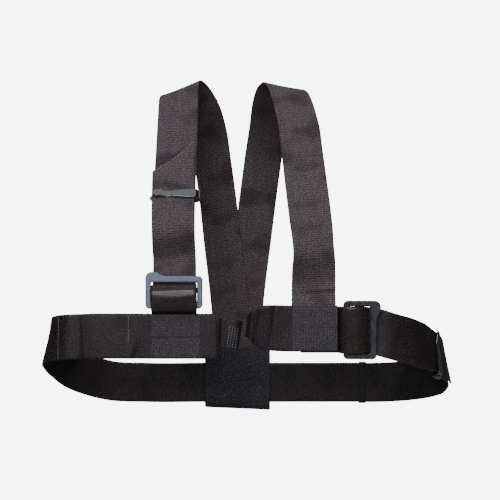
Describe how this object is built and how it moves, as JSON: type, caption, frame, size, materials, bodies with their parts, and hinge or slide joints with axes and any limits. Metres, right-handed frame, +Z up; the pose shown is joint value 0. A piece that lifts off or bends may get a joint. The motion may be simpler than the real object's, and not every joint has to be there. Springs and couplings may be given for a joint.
{
  "type": "webbing chest harness",
  "caption": "Webbing chest harness with a waist belt, two shoulder straps, a sewn back sleeve, adjuster buckles and spring clips, in its worn shape.",
  "frame": {"origin": "midway between the undersides of the two shoulder arches, where the harness hangs or rests on the shoulders", "axes": "+X to the wearer's left, along the belt's width; +Y from the chest to the back; +Z up"},
  "size_m": [0.4313, 0.2707, 0.37],
  "materials": {
    "shoulder_webbing": "ribbed polyester webbing, warm dark grey",
    "belt_webbing": "smooth polyester webbing, satin black-grey",
    "anchor_webbing": "smooth polyester webbing, brown-black",
    "twill_sleeve": "twill-woven wide webbing, matt",
    "elastic": "woven elastic, matt black",
    "blue_grey_steel": "satin blue-grey coated steel",
    "black_steel": "satin black coated steel",
    "spring_steel": "bright spring steel"
  },
  "bodies": {
    "webbing": {"right_shoulder_strap": "shoulder_webbing", "left_shoulder_strap": "shoulder_webbing", "right_strap_tail": "shoulder_webbing", "waist_belt": "belt_webbing", "belt_tail": "belt_webbing", "right_front_panel": "belt_webbing", "left_front_panel": "belt_webbing", "right_front_eye": "belt_webbing", "right_anchor_tab_front": "anchor_webbing", "right_anchor_tab_rear": "anchor_webbing", "left_anchor_tab_front": "anchor_webbing", "left_anchor_tab_rear": "anchor_webbing", "back_sleeve": "twill_sleeve"},
    "right_buckle": {"right_buckle_frame": "blue_grey_steel", "right_anchor_loop": "anchor_webbing", "right_strap_turn": "shoulder_webbing"},
    "right_bar": {"right_slide_bar": "blue_grey_steel"},
    "left_buckle": {"left_buckle_frame": "black_steel", "left_anchor_loop": "anchor_webbing", "left_strap_turn": "belt_webbing"},
    "left_bar": {"left_slide_bar": "black_steel"},
    "right_clip": {"right_clip_plate": "spring_steel"},
    "right_arm": {"right_clip_arm": "spring_steel"},
    "left_clip": {"left_clip_plate": "spring_steel"},
    "left_arm": {"left_clip_arm": "spring_steel"},
    "elastic_band": {"elastic_keeper": "elastic"}
  },
  "joints": [
    {"name": "right_buckle_tilt", "type": "hinge", "parent": "webbing", "child": "right_buckle", "pos_m": [-0.0557, -0.149, -0.2348], "axis": [1, 0, 0], "range_deg": [0, 22]},
    {"name": "left_buckle_tilt", "type": "hinge", "parent": "webbing", "child": "left_buckle", "pos_m": [0.1137, -0.1766, -0.257], "axis": [0, 0, -1], "range_deg": [0, 22]},
    {"name": "right_bar_slide", "type": "slide", "parent": "right_buckle", "child": "right_bar", "axis": [0, 0, -1], "range_m": [0, 0.003]},
    {"name": "left_bar_slide", "type": "slide", "parent": "left_buckle", "child": "left_bar", "axis": [-1, 0, 0], "range_m": [0, 0.003]},
    {"name": "right_clip_slide", "type": "slide", "parent": "webbing", "child": "right_clip", "axis": [-0.0064, 0.6489, 0.7609], "range_m": [-0.005, 0.024]},
    {"name": "left_clip_slide", "type": "slide", "parent": "webbing", "child": "left_clip", "axis": [0.4293, 0.8593, -0.278], "range_m": [-0.004, 0.004]},
    {"name": "right_arm_open", "type": "hinge", "parent": "right_clip", "child": "right_arm", "pos_m": [-0.03339, -0.10829, -0.12415], "axis": [-0.0064, 0.6489, 0.7609], "range_deg": [0, 15], "stiffness_Nm_per_rad": 0.05},
    {"name": "left_arm_open", "type": "hinge", "parent": "left_clip", "child": "left_arm", "pos_m": [0.20784, -0.13007, -0.30638], "axis": [0.4293, 0.8593, -0.278], "range_deg": [0, 15], "stiffness_Nm_per_rad": 0.05},
    {"name": "elastic_slide", "type": "slide", "parent": "webbing", "child": "elastic_band", "axis": [1, 0, 0], "range_m": [-0.094, 0.002]}
  ]
}
